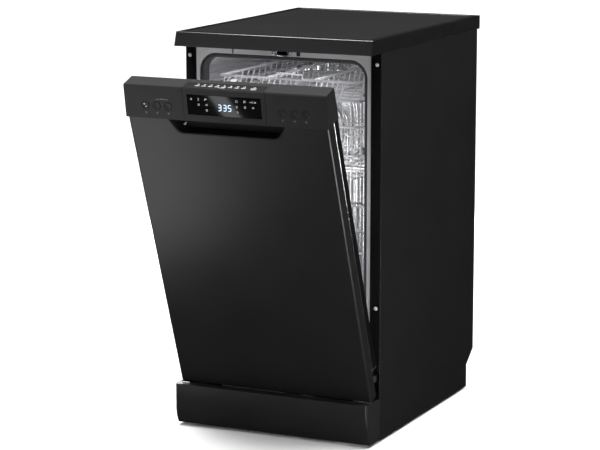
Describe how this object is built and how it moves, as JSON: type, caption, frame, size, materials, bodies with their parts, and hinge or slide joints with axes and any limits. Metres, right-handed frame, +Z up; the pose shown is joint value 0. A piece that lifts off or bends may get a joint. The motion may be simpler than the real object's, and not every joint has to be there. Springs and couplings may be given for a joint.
{
  "type": "freestanding slimline dishwasher",
  "caption": "Freestanding slimline dishwasher, door ajar: steel tub, sliding racks, spray arms, hinged door with fascia, buttons and detergent dispenser.",
  "frame": {"origin": "on the floor, under the middle of the outline with the door ajar by 20 degrees", "axes": "+Z up; the front and the door face -Y; +X is the machine's right-hand side seen from the front"},
  "size_m": [0.448, 0.825, 0.845],
  "materials": {
    "black_paint": "satin black powder coat",
    "black_laminate": "black laminated chipboard",
    "black_plastic": "satin moulded ABS",
    "dark_plastic": "matt polypropylene",
    "black_glass": "polished black acrylic",
    "stainless": "bright annealed stainless sheet",
    "zinc_plate": "zinc-plated steel",
    "seal_rubber": "matt EPDM",
    "grey_plastic": "matt glass-filled polypropylene",
    "white_plastic": "matt polypropylene",
    "blue_plastic": "matt polypropylene",
    "rack_wire": "silver-grey nylon coated wire",
    "circuit_board": "epoxy board"
  },
  "bodies": {
    "cabinet": {"worktop_trim": "black_plastic", "worktop_board": "black_laminate", "side_panel_right": "black_paint", "side_panel_left": "black_paint", "rear_panel": "zinc_plate", "plinth": "black_plastic", "base_tray": "dark_plastic", "sump_housing": "grey_plastic", "circulation_pump": "dark_plastic", "drain_pump": "dark_plastic", "water_softener": "white_plastic", "inlet_valve": "white_plastic", "hinge_bracket_right": "zinc_plate", "hinge_bracket_left": "zinc_plate", "door_spring_right": "zinc_plate", "door_spring_left": "zinc_plate", "tub_wrap": "stainless", "tub_back_wall": "stainless", "tub_floor": "stainless", "tub_front_frame": "stainless", "door_gasket": "seal_rubber", "water_feed_pipe": "grey_plastic", "filter_plate": "stainless"},
    "door": {"door_outer_panel": "black_paint", "handle_recess": "dark_plastic", "door_inner_panel": "stainless", "control_fascia": "black_plastic", "hinge_arm_right": "zinc_plate", "hinge_arm_left": "zinc_plate", "display_window": "black_glass", "control_board": "circuit_board", "dispenser_housing": "grey_plastic"},
    "upper_rack": {"upper_rack": "rack_wire", "upper_arm_manifold": "grey_plastic"},
    "lower_rack": {"lower_rack": "rack_wire"},
    "cutlery_tray": {"cutlery_tray": "grey_plastic"},
    "upper_rail_left": {"upper_rail_left": "stainless"},
    "upper_rail_right": {"upper_rail_right": "stainless"},
    "upper_spray_arm": {"upper_spray_arm": "grey_plastic"},
    "lower_spray_arm": {"lower_spray_arm": "grey_plastic"},
    "top_spray_arm": {"top_spray_arm": "grey_plastic"},
    "filter_cylinder": {"filter_cylinder": "grey_plastic"},
    "salt_cap": {"salt_cap": "blue_plastic"},
    "dispenser_flap": {"dispenser_flap": "white_plastic"},
    "rinse_aid_cap": {"rinse_aid_cap": "grey_plastic"},
    "door_latch": {"door_latch": "zinc_plate"},
    "button_1": {"button_1": "black_plastic"},
    "button_2": {"button_2": "black_plastic"},
    "button_3": {"button_3": "black_plastic"},
    "button_4": {"button_4": "black_plastic"},
    "button_5": {"button_5": "black_plastic"},
    "button_6": {"button_6": "black_plastic"},
    "foot_front_left": {"foot_front_left": "dark_plastic"},
    "foot_front_right": {"foot_front_right": "dark_plastic"},
    "foot_rear_left": {"foot_rear_left": "dark_plastic"},
    "foot_rear_right": {"foot_rear_right": "dark_plastic"},
    "rack_wheel_front_left": {"rack_wheel_front_left": "grey_plastic"},
    "rack_wheel_front_right": {"rack_wheel_front_right": "grey_plastic"},
    "rack_wheel_rear_left": {"rack_wheel_rear_left": "grey_plastic"},
    "rack_wheel_rear_right": {"rack_wheel_rear_right": "grey_plastic"}
  },
  "joints": [
    {"name": "door_hinge", "type": "hinge", "parent": "cabinet", "child": "door", "pos_m": [0, -0.1585, 0.131], "axis": [1, 0, 0], "range_deg": [-20, 70], "deforming": ["door_spring_right", "door_spring_left"]},
    {"name": "cutlery_tray_slide", "type": "slide", "parent": "cabinet", "child": "cutlery_tray", "axis": [0, -1, 0], "range_m": [0, 0.2]},
    {"name": "upper_rack_slide", "type": "slide", "parent": "cabinet", "child": "upper_rack", "axis": [0, -1, 0], "range_m": [0, 0.14]},
    {"name": "lower_rack_slide", "type": "slide", "parent": "cabinet", "child": "lower_rack", "axis": [0, -1, 0], "range_m": [0, 0.04]},
    {"name": "upper_rail_left_slide", "type": "slide", "parent": "cabinet", "child": "upper_rail_left", "axis": [0, -1, 0], "range_m": [0, 0.07]},
    {"name": "upper_rail_right_slide", "type": "slide", "parent": "cabinet", "child": "upper_rail_right", "axis": [0, -1, 0], "range_m": [0, 0.07]},
    {"name": "upper_spray_arm_spin", "type": "hinge", "parent": "upper_rack", "child": "upper_spray_arm", "pos_m": [0, 0.1275, 0.53], "axis": [0, 0, 1], "continuous": true},
    {"name": "lower_spray_arm_spin", "type": "hinge", "parent": "cabinet", "child": "lower_spray_arm", "pos_m": [0, 0.1275, 0.178], "axis": [0, 0, 1], "continuous": true},
    {"name": "top_spray_arm_spin", "type": "hinge", "parent": "cabinet", "child": "top_spray_arm", "pos_m": [0, 0.1275, 0.779], "axis": [0, 0, 1], "continuous": true},
    {"name": "filter_twist", "type": "hinge", "parent": "cabinet", "child": "filter_cylinder", "pos_m": [0.075, 0.0425, 0.12], "axis": [0, 0, 1], "range_deg": [0, 90]},
    {"name": "salt_cap_twist", "type": "hinge", "parent": "cabinet", "child": "salt_cap", "pos_m": [-0.11, 0.0025, 0.155], "axis": [0, 0, 1], "range_deg": [0, 360]},
    {"name": "dispenser_flap_hinge", "type": "hinge", "parent": "door", "child": "dispenser_flap", "pos_m": [-0.043, -0.2412, 0.43335], "axis": [-1, 0, 0], "range_deg": [0, 100]},
    {"name": "rinse_aid_cap_twist", "type": "hinge", "parent": "door", "child": "rinse_aid_cap", "pos_m": [0.045, -0.25275, 0.46597], "axis": [0, 0.9397, 0.342], "range_deg": [0, 90]},
    {"name": "door_latch_hinge", "type": "hinge", "parent": "door", "child": "door_latch", "pos_m": [0, -0.38193, 0.76534], "axis": [1, 0, 0], "range_deg": [0, 4], "stiffness_Nm_per_rad": 0.5},
    {"name": "button_1_press", "type": "slide", "parent": "door", "child": "button_1", "axis": [0, 0.9853, 0.171], "range_m": [0, 0.002], "stiffness_N_per_m": 300},
    {"name": "button_2_press", "type": "slide", "parent": "door", "child": "button_2", "axis": [0, 0.9853, 0.171], "range_m": [0, 0.002], "stiffness_N_per_m": 300},
    {"name": "button_3_press", "type": "slide", "parent": "door", "child": "button_3", "axis": [0, 0.9853, 0.171], "range_m": [0, 0.002], "stiffness_N_per_m": 300},
    {"name": "button_4_press", "type": "slide", "parent": "door", "child": "button_4", "axis": [0, 0.9853, 0.171], "range_m": [0, 0.002], "stiffness_N_per_m": 300},
    {"name": "button_5_press", "type": "slide", "parent": "door", "child": "button_5", "axis": [0, 0.9853, 0.171], "range_m": [0, 0.002], "stiffness_N_per_m": 300},
    {"name": "button_6_press", "type": "slide", "parent": "door", "child": "button_6", "axis": [0, 0.9853, 0.171], "range_m": [0, 0.002], "stiffness_N_per_m": 300},
    {"name": "foot_front_left_turn", "type": "hinge", "parent": "cabinet", "child": "foot_front_left", "pos_m": [-0.188, -0.1035, 0.018], "axis": [0, 0, 1], "continuous": true},
    {"name": "foot_front_right_turn", "type": "hinge", "parent": "cabinet", "child": "foot_front_right", "pos_m": [0.188, -0.1035, 0.018], "axis": [0, 0, 1], "continuous": true},
    {"name": "foot_rear_left_turn", "type": "hinge", "parent": "cabinet", "child": "foot_rear_left", "pos_m": [-0.188, 0.3275, 0.018], "axis": [0, 0, 1], "continuous": true},
    {"name": "foot_rear_right_turn", "type": "hinge", "parent": "cabinet", "child": "foot_rear_right", "pos_m": [0.188, 0.3275, 0.018], "axis": [0, 0, 1], "continuous": true},
    {"name": "rack_wheel_front_left_roll", "type": "hinge", "parent": "lower_rack", "child": "rack_wheel_front_left", "pos_m": [-0.1745, -0.0475, 0.2], "axis": [1, 0, 0], "continuous": true},
    {"name": "rack_wheel_front_right_roll", "type": "hinge", "parent": "lower_rack", "child": "rack_wheel_front_right", "pos_m": [0.1745, -0.0475, 0.2], "axis": [1, 0, 0], "continuous": true},
    {"name": "rack_wheel_rear_left_roll", "type": "hinge", "parent": "lower_rack", "child": "rack_wheel_rear_left", "pos_m": [-0.1745, 0.2825, 0.2], "axis": [1, 0, 0], "continuous": true},
    {"name": "rack_wheel_rear_right_roll", "type": "hinge", "parent": "lower_rack", "child": "rack_wheel_rear_right", "pos_m": [0.1745, 0.2825, 0.2], "axis": [1, 0, 0], "continuous": true}
  ],
  "couplings": [
    {"joint": "upper_rail_left_slide", "follows": "upper_rack_slide", "ratio": 0.5},
    {"joint": "upper_rail_right_slide", "follows": "upper_rack_slide", "ratio": 0.5}
  ]
}
